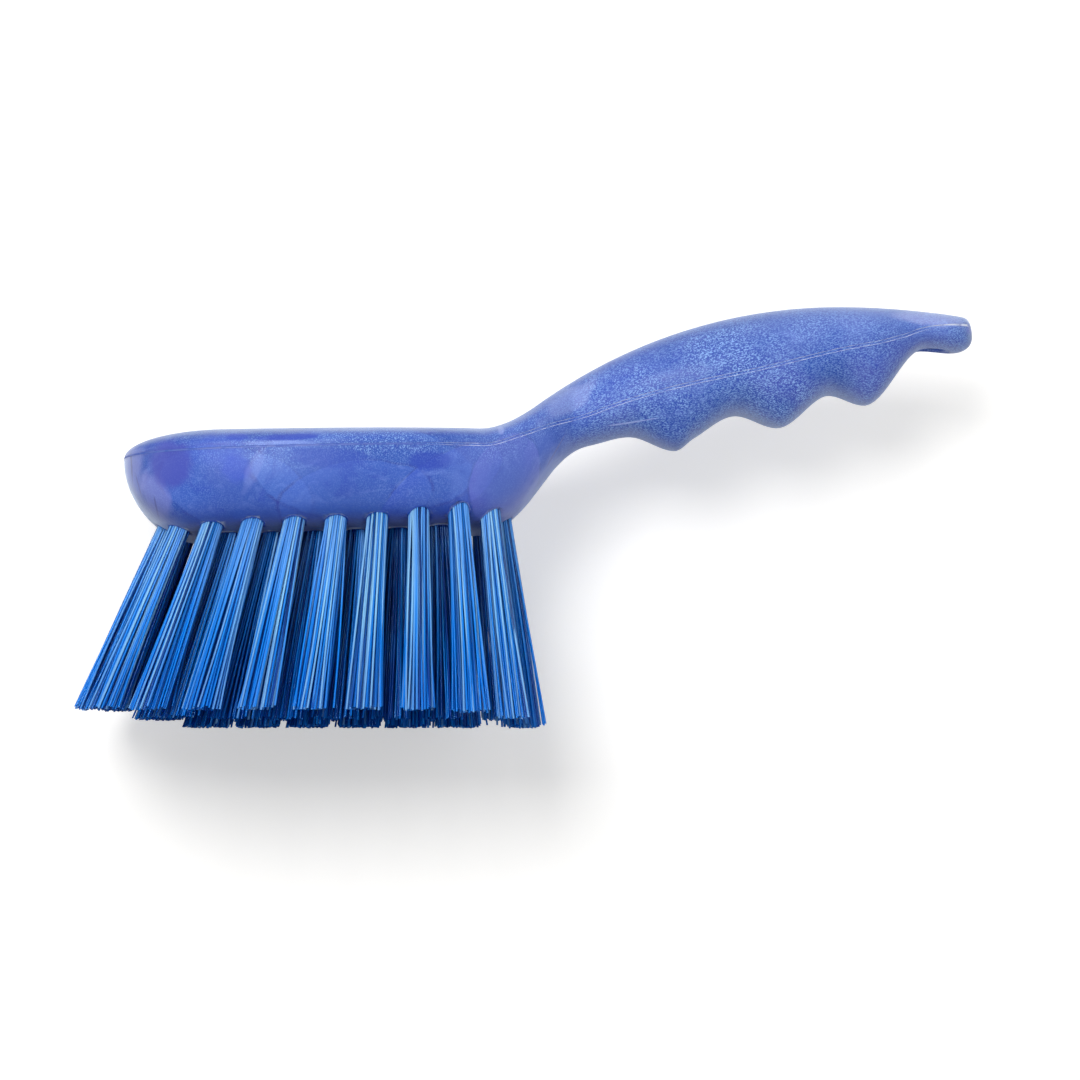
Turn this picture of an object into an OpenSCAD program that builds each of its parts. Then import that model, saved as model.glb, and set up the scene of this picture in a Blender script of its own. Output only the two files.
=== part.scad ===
// Scrub brush: a head and handle moulded in one piece, with staple-set tufts of filament.
// Millimetres. +X runs from the toe to the end of the handle and +Z is up. The origin lies
// on the surface that the brush stands on, under the middle of its length.

/* [Head] */
// Length of the head, from its toe to its heel edge
head_l = 88.6; // [82:0.2:100]
// Greatest width of the head
head_w = 64; // [58:1:76]
// Thickness of the head near its toe
toe_h = 24.4; // [22:0.2:28]
// Thickness of the head near its heel
heel_h = 23; // [20:0.2:25]
// Height of the rounded part of the head above its widest line
crown_h = 5.8; // [4:0.2:8]
// Length over which the lower side of the toe rounds up
toe_round_l = 17.5; // [14:0.5:22]
// Length over which the upper side of the toe rounds down
toe_crown_l = 22; // [14:1:26]
// Distance from the toe to the widest place of the head
widest_from_toe = 45; // [40:1:52]
// Length by which the sides of the head run on past the heel edge, into the neck
heel_taper_l = 12; // [9:0.5:15]

/* [Handle] */
// Length of the handle, from the heel edge of the head to its end
handle_l = 104.8; // [98:0.2:125]
// Height of the handle's crest above the top of the head
handle_rise = 29.2; // [24:0.2:34]
// Radius of the arc that the handle's back follows
back_r = 118; // [108:1:140]
// Radius of the arc of the back between the crest and the end
tail_r = 190; // [150:5:260]
// Distance of the crest from the end of the handle
crest_inset = 30; // [24:1:36]
// Slope of the neck's underside where it leaves the heel edge, in degrees
neck_rake = 53; // [46:1:58]
// Length of the neck, past the heel edge
neck_l = 18; // [16:0.5:20]
// Width of the neck
neck_w = 23; // [20:0.5:27]
// Greatest width of the grip
grip_w = 27; // [24:0.5:31]
// Width of the end of the handle
end_w = 17; // [15:0.5:20]
// Depth of the neck where the grip starts, from its back to its underside
neck_h = 17.2; // [16:0.2:20]
// Depth of the grip at its middle finger hollow
grip_h = 22.5; // [20:0.1:25]
// Thickness of the flat end of the handle
end_h = 8.8; // [7.6:0.2:11]
// Length of the flat underside at the end of the handle
end_flat_l = 11.4; // [10:0.2:15]

/* [Finger swells] */
// Distance of the first swell from the heel edge
first_swell = 36.4; // [33:0.2:39]
// Distance from the first swell to the second
swell_pitch = 23.6; // [20:0.2:25]
// How much nearer the third swell is to the second
pitch_fade = 3.4; // [2:0.2:5]
// Height of the first swell below the finger hollows
swell_h = 5.3; // [3:0.1:6.5]
// How much lower each swell is than the one before it
swell_fade = 0.5; // [0:0.05:1.2]

/* [Hang hole] */
// Diameter of the hang hole
hang_hole_d = 6.5; // [5:0.5:8]
// Distance of the hang hole from the end of the handle
hang_inset = 9.2; // [8:0.2:11]

/* [Tuft field] */
// Height of the head's underside above the tips, near the toe
bristle_h = 41.5; // [34:0.5:48]
// Rise of the underside from the toe end to the heel end
under_rise = 2.8; // [0:0.2:4]
// Distance from the toe to the centres of the nearest holes
toe_margin = 9.6; // [9:0.2:12]
// Distance from the heel edge to the centres of the nearest holes
heel_margin = 3.6; // [3:0.2:6]
// Distance from the side of the head to the centres of the outer holes
side_margin = 6.6; // [6.2:0.2:9]
// Diameter of a tuft hole
hole_d = 4.8; // [4.2:0.1:5.2]
// Depth of a tuft hole
hole_depth = 12; // [10:0.5:13]
// Forward lean of the tufts at the toe, in degrees
toe_lean = 22.5; // [18:0.5:26]
// Backward lean of the tufts at the heel, in degrees
heel_lean = 7; // [5:0.5:11]
// Sideways lean of the outer tufts, in degrees
side_lean = 16; // [11:1:18]
// Width of the middle of the field that is trimmed flat
flat_w = 20; // [18:1:24]
// Distance from the toe at which the tips start to rise
flat_from_toe = 29; // [26:1:34]
// Height of the tips at the toe above the flat ones
toe_tip_rise = 4.1; // [2:0.1:5]
// Height of the tips at the sides above the flat ones
side_tip_rise = 3.6; // [2:0.1:5]

/* [Tufts] */
// Outer strands round the middle one; each stands for about nine filaments
outer_strands = 6; // [5, 6]
// Least gap between the strands of a tuft, at its root
strand_gap = 0.08; // [0.05:0.01:0.2]
// Distance of the outer strands from a tuft's centre line at its tip
tip_r = 3.3; // [2.4:0.1:3.6]
// Distance from a hole's mouth to the face that the strands leave
root_inset = 3; // [2.6:0.1:3.6]
// Gap all round between a root and its hole
root_gap = 0.04; // [0.02:0.01:0.1]
// Depth by which the standing tips are cut flat
trim_cut = 0.5; // [0.3:0.1:0.8]

/* [Anchors] */
// Thickness of an anchor wire
anchor_t = 0.3; // [0.2:0.05:0.4]
// Width of an anchor wire, along the hole
anchor_w = 1.8; // [1.4:0.1:2.2]
// Length by which an anchor bites into each side of its hole
anchor_bite = 0.25; // [0.15:0.05:0.35]
// Depth of the folded filaments between an anchor wire and the bottom of its hole
fold_h = 0.8; // [0.5:0.1:1.2]

/* [Hidden] */
RING = 24;               // holes round the edge of the field
ROW_HOLES = [7, 7, 6];   // holes in the middle row and in each pair of rows beside it
TUFTS = RING + ROW_HOLES[0] + 2 * ROW_HOLES[1] + 2 * ROW_HOLES[2];
TUFT_NAMES = [for (i = [1 : TUFTS]) str(i < 10 ? "tuft_0" : "tuft_", i)];

// Places along X are counted from the toe, until each piece is moved to the origin.
heel_x = head_l;
end_x = head_l + handle_l;
neck_end_x = heel_x + neck_l;
end_flat_x = end_x - end_flat_l;
crest_x = end_x - crest_inset;

under_toe_z = bristle_h;
under_heel_z = bristle_h + under_rise;
head_top_toe_z = under_toe_z + toe_h;
head_top_heel_z = under_heel_z + heel_h;
crest_z = head_top_heel_z + handle_rise;

// Curves through named points, and smooth joins of two lines
function between(a, b, t) = a + (b - a) * t;
function clamp01(t) = max(0, min(1, t));
function soft_max(a, b, k) = max(a, b) + pow(max(0, k - abs(a - b)), 2) / (4 * k);
function soft_min(a, b, k) = min(a, b) - pow(max(0, k - abs(a - b)), 2) / (4 * k);
function rounded(t, n) = pow(1 - pow(clamp01(t), n), 1 / n);
function risen(t, n) = rounded(1 - clamp01(t), n);

function step_slope(p, i) = (p[i + 1].y - p[i].y) / (p[i + 1].x - p[i].x);
function point_slope(p, i) =
    i == 0 ? step_slope(p, 0)
    : i == len(p) - 1 ? step_slope(p, i - 1)
    : step_slope(p, i - 1) * step_slope(p, i) <= 0 ? 0
    : 2 / (1 / step_slope(p, i - 1) + 1 / step_slope(p, i));
function stretch(p, x, i = 0) = i >= len(p) - 2 || x < p[i + 1].x ? i : stretch(p, x, i + 1);
function hermite(p, i, h, t) =
    (1 + 2 * t) * (1 - t) * (1 - t) * p[i].y + t * (1 - t) * (1 - t) * h * point_slope(p, i)
    + t * t * (3 - 2 * t) * p[i + 1].y - t * t * (1 - t) * h * point_slope(p, i + 1);
function curve_in(p, x, i) =
    hermite(p, i, p[i + 1].x - p[i].x, clamp01((x - p[i].x) / (p[i + 1].x - p[i].x)));
function curve(p, x) = curve_in(p, x, stretch(p, x));

// Lines of the side view: the top of the head runs up into the back of the handle
END_ROUND = 2.2;          // length over which the end of the handle rounds off, on top
END_UNDER_ROUND = 6.5;    // the same for its underside
NECK_FILLET = 6;          // how softly the top of the head joins the neck
HEEL_FILLET = 8;          // how softly the underside of the head joins the heel
RAKE_FILLET = 4.5;        // how softly the heel's slope joins the neck's underside

function head_top(x) = between(head_top_toe_z, head_top_heel_z, clamp01(x / head_l));
function arc_drop(dx, r) = r - sqrt(max(0, r * r - dx * dx));
function back(x) = crest_z - arc_drop(x - crest_x, x < crest_x ? back_r : tail_r);
function top_line(x) = soft_max(head_top(x), back(x), NECK_FILLET);

// The underside of the handle goes through three hollows, with a swell after each
PALM_TAPER = 2.8;         // loss of the grip's depth, one swell away from its middle
FIRST_HOLLOW = 0.44;      // place of the first hollow, as a share of the pitch before its swell
HOLLOW_SHARE = 0.6;       // place of the other hollows between their swells
SWELL_BACK = 0.3;         // place of a point on the far side of the first swell, as a share of its run
SWELL_FALL = 0.35;        // share of the swell's height that is lost by there
NECK_SLOPE = 16;          // slope of the neck's underside before the grip, in degrees
HEEL_RIM = 3.2;           // height of the heel's lower rim above the underside

function swell_x(i) = heel_x + first_swell + i * swell_pitch - max(0, i - 1) * pitch_fade;
function hollow_x(i) =
    i == 0 ? swell_x(0) - swell_pitch * FIRST_HOLLOW : between(swell_x(i - 1), swell_x(i), HOLLOW_SHARE);
palm_x = hollow_x(1);
function grip_depth(x) = grip_h - PALM_TAPER * pow((x - palm_x) / swell_pitch, 2);
function hollow_point(i) = [hollow_x(i), top_line(hollow_x(i)) - grip_depth(hollow_x(i))];
function swell_point(i) =
    [swell_x(i), top_line(swell_x(i)) - grip_depth(swell_x(i)) - swell_h + i * swell_fade];
neck_end_z = top_line(neck_end_x) - neck_h;
swell_back_point = [
    between(swell_x(0), hollow_x(1), SWELL_BACK),
    between(swell_point(0).y, hollow_point(1).y, SWELL_FALL)
];
grip_under = [
    [heel_x, neck_end_z - neck_l * tan(NECK_SLOPE)],
    [neck_end_x, neck_end_z],
    hollow_point(0),
    swell_point(0),
    swell_back_point,
    hollow_point(1),
    swell_point(1),
    hollow_point(2),
    swell_point(2),
    [end_flat_x, top_line(end_flat_x) - end_h],
    [end_x, top_line(end_x - END_ROUND) - end_h]
];
function heel_slope(x) = under_heel_z + HEEL_RIM + tan(neck_rake) * (x - heel_x);
function handle_under(x) = soft_min(heel_slope(x), curve(grip_under, x), RAKE_FILLET);
function head_under(x) = between(under_toe_z, under_heel_z, clamp01(x / head_l));
function under_line(x) = soft_max(head_under(x), handle_under(x), HEEL_FILLET);

// The widest line, where the two halves of the mould meet, by its depth below the top line
HEEL_RUN = 4;             // distance before the heel edge at which this line turns down
HEEL_CROWN = 0.83;        // its depth there, as a share of the crown
WIDE_SHARE = 0.62;        // its depth on the handle, as a share of the handle's
TAIL_SHARE = 0.42;        // the same at the last swell
wide_drop = [
    [0, crown_h],
    [heel_x - HEEL_RUN, crown_h * HEEL_CROWN],
    [neck_end_x, neck_h * WIDE_SHARE],
    [palm_x, grip_h * WIDE_SHARE],
    [swell_x(2), grip_h * TAIL_SHARE],
    [end_flat_x, end_h * WIDE_SHARE],
    [end_x, end_h / 2]
];
function wide_line(x) = top_line(x) - curve(wide_drop, x);

// Half of the width seen from above. Of each squareness, 2 is an ellipse.
TOE_SQUARE = 3;
HEEL_SQUARE = 1.9;
PLAN_FILLET = 12;         // how softly the head's outline joins the neck's
TAIL_WIDTH = 0.9;         // width of the last swell, as a share of the grip's
head_half_w = head_w / 2;
function head_plan(x) =
    x < widest_from_toe
    ? head_half_w * rounded((widest_from_toe - x) / widest_from_toe, TOE_SQUARE)
    : head_half_w
        * rounded((x - widest_from_toe) / (heel_x + heel_taper_l - widest_from_toe), HEEL_SQUARE);
handle_plan = [
    [heel_x, neck_w / 2],
    [neck_end_x, neck_w / 2],
    [palm_x, grip_w / 2],
    [swell_x(2), grip_w / 2 * TAIL_WIDTH],
    [end_flat_x, end_w / 2],
    [end_x, end_w / 2]
];
function half_width(x) =
    x < widest_from_toe ? head_plan(x) : soft_max(head_plan(x), curve(handle_plan, x), PLAN_FILLET);

// Both ends are rounded off
TOE_SIDE_SQUARE = 1.95;
END_SQUARE = 2.4;
end_plan_round = end_w / 2;
function top_z(x) =
    wide_line(x) + (top_line(x) - wide_line(x))
        * risen(x / toe_crown_l, TOE_SIDE_SQUARE) * risen((end_x - x) / END_ROUND, END_SQUARE);
function under_z(x) =
    wide_line(x) - (wide_line(x) - under_line(x))
        * risen(x / toe_round_l, TOE_SIDE_SQUARE) * risen((end_x - x) / END_UNDER_ROUND, END_SQUARE);
function side_y(x) = half_width(x) * risen((end_x - x) / end_plan_round, END_SQUARE);

// The section is squarer on the head than on the handle
HEAD_TOP_SQUARE = 3.2;
HEAD_UNDER_SQUARE = 4;
HANDLE_SQUARE = 2.3;
square_end_x = heel_x + heel_taper_l;
square_run = 2.2 * heel_taper_l;
function head_share(x) = clamp01((square_end_x - x) / square_run);
function top_square(x) = between(HANDLE_SQUARE, HEAD_TOP_SQUARE, head_share(x));
function under_square(x) = between(HANDLE_SQUARE, HEAD_UNDER_SQUARE, head_share(x));

function super(c, n) = sign(c) * pow(abs(c), 2 / n);
function section_point(x, a) =
    sin(a) >= 0
    ? [x, side_y(x) * super(cos(a), top_square(x)),
        wide_line(x) + (top_z(x) - wide_line(x)) * super(sin(a), top_square(x))]
    : [x, side_y(x) * super(cos(a), under_square(x)),
        wide_line(x) + (wide_line(x) - under_z(x)) * super(sin(a), under_square(x))];

// Stations along X: close together where the shape bends, and far apart on the flat head
SECTION_POINTS = 24;
NOSE_STEPS = 9;
FLAT_STEPS = 6;
HEEL_STEPS = 12;
GRIP_STEPS = 28;
END_STEPS = 6;
function section(x) = [for (i = [0 : SECTION_POINTS - 1]) section_point(x, i * 360 / SECTION_POINTS)];
function steps(a, b, n) = [for (i = [1 : n]) between(a, b, i / n)];
stations = concat(
    [for (i = [1 : NOSE_STEPS]) toe_round_l * (1 - cos(90 * i / NOSE_STEPS))],
    steps(toe_round_l, heel_x - heel_taper_l, FLAT_STEPS),
    steps(heel_x - heel_taper_l, neck_end_x, HEEL_STEPS),
    steps(neck_end_x, end_x - end_plan_round, GRIP_STEPS),
    [for (i = [1 : END_STEPS]) end_x - end_plan_round * (1 - sin(90 * i / (END_STEPS + 0.4)))]
);

// A closed skin over rings of points, with a point at each end
module loft(rings, first, last) {
    n = len(rings[0]);
    m = len(rings);
    points = concat([for (r = rings) each r], [first, last]);
    sides = [for (j = [0 : m - 2]) for (i = [0 : n - 1]) let (k = (i + 1) % n)
        each [[j * n + i, (j + 1) * n + k, j * n + k], [j * n + i, (j + 1) * n + i, (j + 1) * n + k]]];
    start_cap = [for (i = [0 : n - 1]) [m * n, i, (i + 1) % n]];
    end_cap = [for (i = [0 : n - 1]) [m * n + 1, (m - 1) * n + (i + 1) % n, (m - 1) * n + i]];
    polyhedron(points, concat(start_cap, sides, end_cap));
}

module moulding() {
    loft([for (x = stations) section(x)], [0, 0, wide_line(0)], [end_x, 0, wide_line(end_x)]);
}

// Where the holes are: a ring round the edge of the field, and rows inside it
TOE_RING_SQUARE = 3.6;
HEEL_RING_SQUARE = 3.5;
ROW_STEPS = 3;            // spaces from the middle row to the ring, at the side
ROW_END = 1.3;            // distance of a row's last hole from the ring, in the row's spaces
ring_heel_x = heel_x - heel_margin;
ring_mid_x = (toe_margin + ring_heel_x) / 2;
ring_half_l = (ring_heel_x - toe_margin) / 2;
ring_half_w = head_half_w - side_margin;

function oval_point(side, a, square) =
    [ring_mid_x + side * ring_half_l * super(cos(a), square), ring_half_w * super(sin(a), square)];
toe_quarter = [for (a = [0 : 90]) oval_point(-1, a, TOE_RING_SQUARE)];
heel_quarter = [for (a = [90 : -1 : 0]) oval_point(1, a, HEEL_RING_SQUARE)];
function run_length(p, i = 0) = i >= len(p) - 1 ? 0 : norm(p[i + 1] - p[i]) + run_length(p, i + 1);
function walk(p, s, i = 0) =
    let (d = norm(p[i + 1] - p[i]))
    s <= d || i == len(p) - 2 ? between(p[i], p[i + 1], s / d) : walk(p, s - d, i + 1);
function share_along(p, t) = walk(p, run_length(p) * t);
function half_ring(t) = t < 1 ? share_along(toe_quarter, t) : share_along(heel_quarter, t - 1);
function far_side(p) = [p.x, -p.y];
function ring_hole(t) = t <= 2 ? half_ring(t) : far_side(half_ring(4 - t));

row_pitch = ring_half_w / ROW_STEPS;
function row_reach(y, square) = ring_half_l * rounded(abs(y) / ring_half_w, square);
function row_hole(y, t) = [
    between(ring_mid_x - row_reach(y, TOE_RING_SQUARE), ring_mid_x + row_reach(y, HEEL_RING_SQUARE), t),
    y
];
holes = concat(
    [for (i = [0 : RING - 1]) ring_hole(4 * i / RING)],
    [for (row = [-2 : 2]) let (n = ROW_HOLES[abs(row)]) for (i = [0 : n - 1])
        row_hole(row * row_pitch, (i + ROW_END) / (n - 1 + 2 * ROW_END))]
);

// A tuft's line: its mouth on the underside, and the way that it leans
hole_r = hole_d / 2;
function under_at(p) =
    wide_line(p.x) - (wide_line(p.x) - under_z(p.x)) * rounded(abs(p.y) / side_y(p.x), under_square(p.x));
function mouth(p) = [p.x, p.y, under_at(p)];
function unit(v) = v / norm(v);
function lean(x) = between(-toe_lean, heel_lean, (x - toe_margin) / (ring_heel_x - toe_margin));
function way(p) = unit([tan(lean(p.x)), tan(side_lean * p.y / ring_half_w), -1]);
function tip_z(p) = norm([
    toe_tip_rise * max(0, (flat_from_toe - p.x) / (flat_from_toe - toe_margin)),
    side_tip_rise * max(0, (abs(p.y) - flat_w / 2) / (ring_half_w - flat_w / 2))
]);

// The strands fill the root, a gap apart, and spread towards their tips
ROOT_SIDES = 6;
STRAND_SIDES = 3;
ROOT_BURY = 1;            // depth by which a strand starts inside its root
root_flat_r = (hole_r - root_gap) * cos(180 / ROOT_SIDES);
root_r = (2 * root_flat_r + strand_gap) / 3;
strand_r = (root_r - strand_gap) / 2;
function across(d) = unit(cross([0, 1, 0], d));
function spot(c, d, r, a) = c + r * (cos(a) * across(d) + sin(a) * cross(d, across(d)));
function to_height(a, b, z) = a + (b - a) * (a.z - z) / (a.z - b.z);
function strand_root(p, r, a) = spot(mouth(p) - way(p) * (root_inset + ROOT_BURY), way(p), r, a);
function strand_tip(p, r, a) = spot(to_height(mouth(p), mouth(p) + way(p), tip_z(p)), way(p), r, a);

// The middle of the whole brush, from the foremost tip at the toe to the end of the handle
toe_hole = [toe_margin, 0];
toe_tip = strand_tip(toe_hole, tip_r, 0);
toe_strand_way = unit(toe_tip - strand_root(toe_hole, root_r, 0));
fan_x = toe_tip.x + strand_r * toe_strand_way.z;
middle = [(fan_x + end_x) / 2, 0, 0];

module rod(a, b, r, sides) {
    v = b - a;
    translate(a)
        rotate([0, acos(v.z / norm(v)), atan2(v.y, v.x)])
            cylinder(h = norm(v), r = r, $fn = sides);
}

// A flat wire that lies across a hole, over the fold of its filaments
module wire(p) {
    long = hole_d + 2 * anchor_bite;
    d = way(p);
    translate(mouth(p) - d * (hole_depth - fold_h))
        rotate([0, acos(d.z), atan2(d.y, d.x)])
            translate([-anchor_t / 2, -long / 2, 0])
                cube([anchor_t, long, anchor_w]);
}

HOLE_SIDES = 12;          // twice a root's, so that their corners line up
module drilled_hole(p) {
    rod(mouth(p) - way(p) * hole_depth, mouth(p) + way(p) * hole_d, hole_r, HOLE_SIDES);
    wire(p);
}

module strand(p, r_root, r_tip, a) {
    root = strand_root(p, r_root, a);
    tip = strand_tip(p, r_tip, a);
    rod(root, tip_z(p) > trim_cut ? tip : to_height(root, tip, -trim_cut), strand_r, STRAND_SIDES);
}

// What reaches below the surface that the brush stands on
module below_floor(p) {
    translate([p.x - bristle_h, p.y - bristle_h, -bristle_h])
        cube([2 * bristle_h, 2 * bristle_h, bristle_h]);
}

module tuft(p) {
    color("royalblue")
        translate(-middle)
            difference() {
                union() {
                    rod(mouth(p) - way(p) * hole_depth, mouth(p) - way(p) * root_inset,
                        hole_r - root_gap, ROOT_SIDES);
                    strand(p, 0, 0, 0);
                    for (i = [0 : outer_strands - 1])
                        strand(p, root_r, tip_r, i * 360 / outer_strands);
                }
                wire(p);
                below_floor(p);
            }
}

HANG_FACETS = 48;
module hang_hole() {
    translate([end_x - hang_inset, 0, under_z(end_x - hang_inset) - end_h / 2])
        cylinder(h = 2 * end_h, d = hang_hole_d, $fn = HANG_FACETS);
}

module handle_block() {
    color("cornflowerblue")
        translate(-middle)
            difference() {
                moulding();
                for (p = holes)
                    drilled_hole(p);
                hang_hole();
            }
}

module anchor_wires() {
    color("silver")
        translate(-middle)
            for (p = holes)
                wire(p);
}

handle_block();
anchor_wires();
for (i = [0 : TUFTS - 1])
    tuft(holes[i]);
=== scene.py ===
"""Scrub brush: a foamed-plastic head and handle in one moulding, with 57 tufts of filament.

Lengths are in millimetres until a mesh is made. X is counted from the toe of the head, and
SHIFT_X then moves everything to the row frame, as part.scad does. The materials, the stage,
the lamps and the camera are in metres in the row frame, unless a comment says otherwise.
"""

import math
import random
from types import SimpleNamespace

import bpy
import numpy as np
from mathutils import Matrix, Vector
from mathutils.bvhtree import BVHTree
from mathutils.interpolate import poly_3d_calc


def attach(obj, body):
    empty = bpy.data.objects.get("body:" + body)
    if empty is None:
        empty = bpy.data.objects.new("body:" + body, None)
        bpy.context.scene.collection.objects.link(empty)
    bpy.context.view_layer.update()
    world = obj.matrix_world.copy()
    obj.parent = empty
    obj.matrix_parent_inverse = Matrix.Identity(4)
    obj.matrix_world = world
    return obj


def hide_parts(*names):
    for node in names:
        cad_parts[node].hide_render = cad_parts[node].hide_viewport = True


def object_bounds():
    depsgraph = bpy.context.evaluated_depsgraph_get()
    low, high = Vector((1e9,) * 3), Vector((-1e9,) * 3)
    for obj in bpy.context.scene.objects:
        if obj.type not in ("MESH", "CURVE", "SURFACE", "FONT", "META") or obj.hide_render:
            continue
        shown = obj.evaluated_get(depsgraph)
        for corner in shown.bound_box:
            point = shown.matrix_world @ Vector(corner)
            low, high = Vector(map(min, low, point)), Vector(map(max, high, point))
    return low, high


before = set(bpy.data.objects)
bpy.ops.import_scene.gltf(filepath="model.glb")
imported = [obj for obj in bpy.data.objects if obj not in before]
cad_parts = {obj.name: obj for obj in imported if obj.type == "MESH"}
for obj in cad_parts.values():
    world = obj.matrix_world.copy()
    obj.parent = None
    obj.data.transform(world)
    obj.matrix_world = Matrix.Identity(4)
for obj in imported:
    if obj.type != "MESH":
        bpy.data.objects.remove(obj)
cad_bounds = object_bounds()
MM = 0.001
rng = random.Random(7)

# Sizes, as in part.scad
head_l, head_w, toe_h, heel_h, crown_h = 88.6, 64, 24.4, 23, 5.8
toe_round_l, toe_crown_l, widest_from_toe, heel_taper_l = 17.5, 22, 45, 12
handle_l, handle_rise, back_r, tail_r, crest_inset = 104.8, 29.2, 118, 190, 30
neck_rake, neck_l, neck_w, grip_w, end_w = 53, 18, 23, 27, 17
neck_h, grip_h, end_h, end_flat_l = 17.2, 22.5, 8.8, 11.4
first_swell, swell_pitch, pitch_fade, swell_h, swell_fade = 36.4, 23.6, 3.4, 5.3, 0.5
hang_hole_d, hang_inset = 6.5, 9.2
bristle_h, under_rise, toe_margin, heel_margin, side_margin = 41.5, 2.8, 9.6, 3.6, 6.6
hole_d, hole_depth, toe_lean, heel_lean, side_lean = 4.8, 12, 22.5, 7, 16
flat_w, flat_from_toe, toe_tip_rise, side_tip_rise = 20, 29, 4.1, 3.6
tip_r, root_inset, root_gap, strand_gap = 3.3, 3, 0.04, 0.08
anchor_w, fold_h = 1.8, 0.8

heel_x = head_l
end_x = head_l + handle_l
neck_end_x = heel_x + neck_l
end_flat_x = end_x - end_flat_l
crest_x = end_x - crest_inset
under_toe_z = bristle_h
under_heel_z = bristle_h + under_rise
head_top_toe_z = under_toe_z + toe_h
head_top_heel_z = under_heel_z + heel_h
crest_z = head_top_heel_z + handle_rise
hole_r = hole_d / 2


# Curves through named points, and smooth joins of two lines
def between(a, b, t):
    return a + (b - a) * t


def clamp01(t):
    return max(0.0, min(1.0, t))


def soft_max(a, b, k):
    return max(a, b) + max(0, k - abs(a - b)) ** 2 / (4 * k)


def soft_min(a, b, k):
    return min(a, b) - max(0, k - abs(a - b)) ** 2 / (4 * k)


def rounded(t, n):
    return (1 - clamp01(t) ** n) ** (1 / n)


def risen(t, n):
    return rounded(1 - clamp01(t), n)


def point_slopes(p):
    slopes = [(b[1] - a[1]) / (b[0] - a[0]) for a, b in zip(p, p[1:])]
    middle = [0 if a * b <= 0 else 2 / (1 / a + 1 / b) for a, b in zip(slopes, slopes[1:])]
    return [slopes[0]] + middle + [slopes[-1]]


class Curve:
    """A smooth line through points, with no overshoot between them."""

    def __init__(self, points):
        self.p = points
        self.m = point_slopes(points)

    def __call__(self, x):
        i = 0
        while i < len(self.p) - 2 and x >= self.p[i + 1][0]:
            i += 1
        (xa, ya), (xb, yb) = self.p[i], self.p[i + 1]
        h = xb - xa
        t = clamp01((x - xa) / h)
        return (
            (1 + 2 * t) * (1 - t) ** 2 * ya + t * (1 - t) ** 2 * h * self.m[i]
            + t * t * (3 - 2 * t) * yb - t * t * (1 - t) * h * self.m[i + 1]
        )


# Lines of the side view: the top of the head runs up into the back of the handle
END_ROUND = 2.2  # length over which the end of the handle rounds off, on top
END_UNDER_ROUND = 6.5  # the same for its underside
NECK_FILLET = 6  # how softly the top of the head joins the neck
HEEL_FILLET = 8  # how softly the underside of the head joins the heel
RAKE_FILLET = 4.5  # how softly the heel's slope joins the neck's underside


def head_top(x):
    return between(head_top_toe_z, head_top_heel_z, clamp01(x / head_l))


def back(x):
    r = back_r if x < crest_x else tail_r
    return crest_z - (r - math.sqrt(max(0, r * r - (x - crest_x) ** 2)))


def top_line(x):
    return soft_max(head_top(x), back(x), NECK_FILLET)


# The underside of the handle goes through three hollows, with a swell after each
PALM_TAPER = 2.8  # loss of the grip's depth, one swell away from its middle
FIRST_HOLLOW = 0.44  # place of the first hollow, as a share of the pitch before its swell
HOLLOW_SHARE = 0.6  # place of the other hollows between their swells
SWELL_BACK = 0.3  # place of a point on the far side of the first swell, as a share of its run
SWELL_FALL = 0.35  # share of the swell's height that is lost by there
NECK_SLOPE = 16  # slope of the neck's underside before the grip, in degrees
HEEL_RIM = 3.2  # height of the heel's lower rim above the underside


def swell_x(i):
    return heel_x + first_swell + i * swell_pitch - max(0, i - 1) * pitch_fade


def hollow_x(i):
    if i == 0:
        return swell_x(0) - swell_pitch * FIRST_HOLLOW
    return between(swell_x(i - 1), swell_x(i), HOLLOW_SHARE)


palm_x = hollow_x(1)


def grip_depth(x):
    return grip_h - PALM_TAPER * ((x - palm_x) / swell_pitch) ** 2


def hollow_point(i):
    return (hollow_x(i), top_line(hollow_x(i)) - grip_depth(hollow_x(i)))


def swell_point(i):
    x = swell_x(i)
    return (x, top_line(x) - grip_depth(x) - swell_h + i * swell_fade)


neck_end_z = top_line(neck_end_x) - neck_h
swell_back_point = (
    between(swell_x(0), hollow_x(1), SWELL_BACK),
    between(swell_point(0)[1], hollow_point(1)[1], SWELL_FALL),
)
grip_under = Curve([
    (heel_x, neck_end_z - neck_l * math.tan(math.radians(NECK_SLOPE))),
    (neck_end_x, neck_end_z),
    hollow_point(0),
    swell_point(0),
    swell_back_point,
    hollow_point(1),
    swell_point(1),
    hollow_point(2),
    swell_point(2),
    (end_flat_x, top_line(end_flat_x) - end_h),
    (end_x, top_line(end_x - END_ROUND) - end_h),
])


def handle_under(x):
    slope = under_heel_z + HEEL_RIM + math.tan(math.radians(neck_rake)) * (x - heel_x)
    return soft_min(slope, grip_under(x), RAKE_FILLET)


def under_line(x):
    head_under = between(under_toe_z, under_heel_z, clamp01(x / head_l))
    return soft_max(head_under, handle_under(x), HEEL_FILLET)


# The widest line, where the two halves of the mould meet, by its depth below the top line
HEEL_RUN = 4  # distance before the heel edge at which this line turns down
HEEL_CROWN = 0.83  # its depth there, as a share of the crown
WIDE_SHARE = 0.62  # its depth on the handle, as a share of the handle's
TAIL_SHARE = 0.42  # the same at the last swell
wide_drop = Curve([
    (0, crown_h),
    (heel_x - HEEL_RUN, crown_h * HEEL_CROWN),
    (neck_end_x, neck_h * WIDE_SHARE),
    (palm_x, grip_h * WIDE_SHARE),
    (swell_x(2), grip_h * TAIL_SHARE),
    (end_flat_x, end_h * WIDE_SHARE),
    (end_x, end_h / 2),
])


def wide_line(x):
    return top_line(x) - wide_drop(x)


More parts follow.
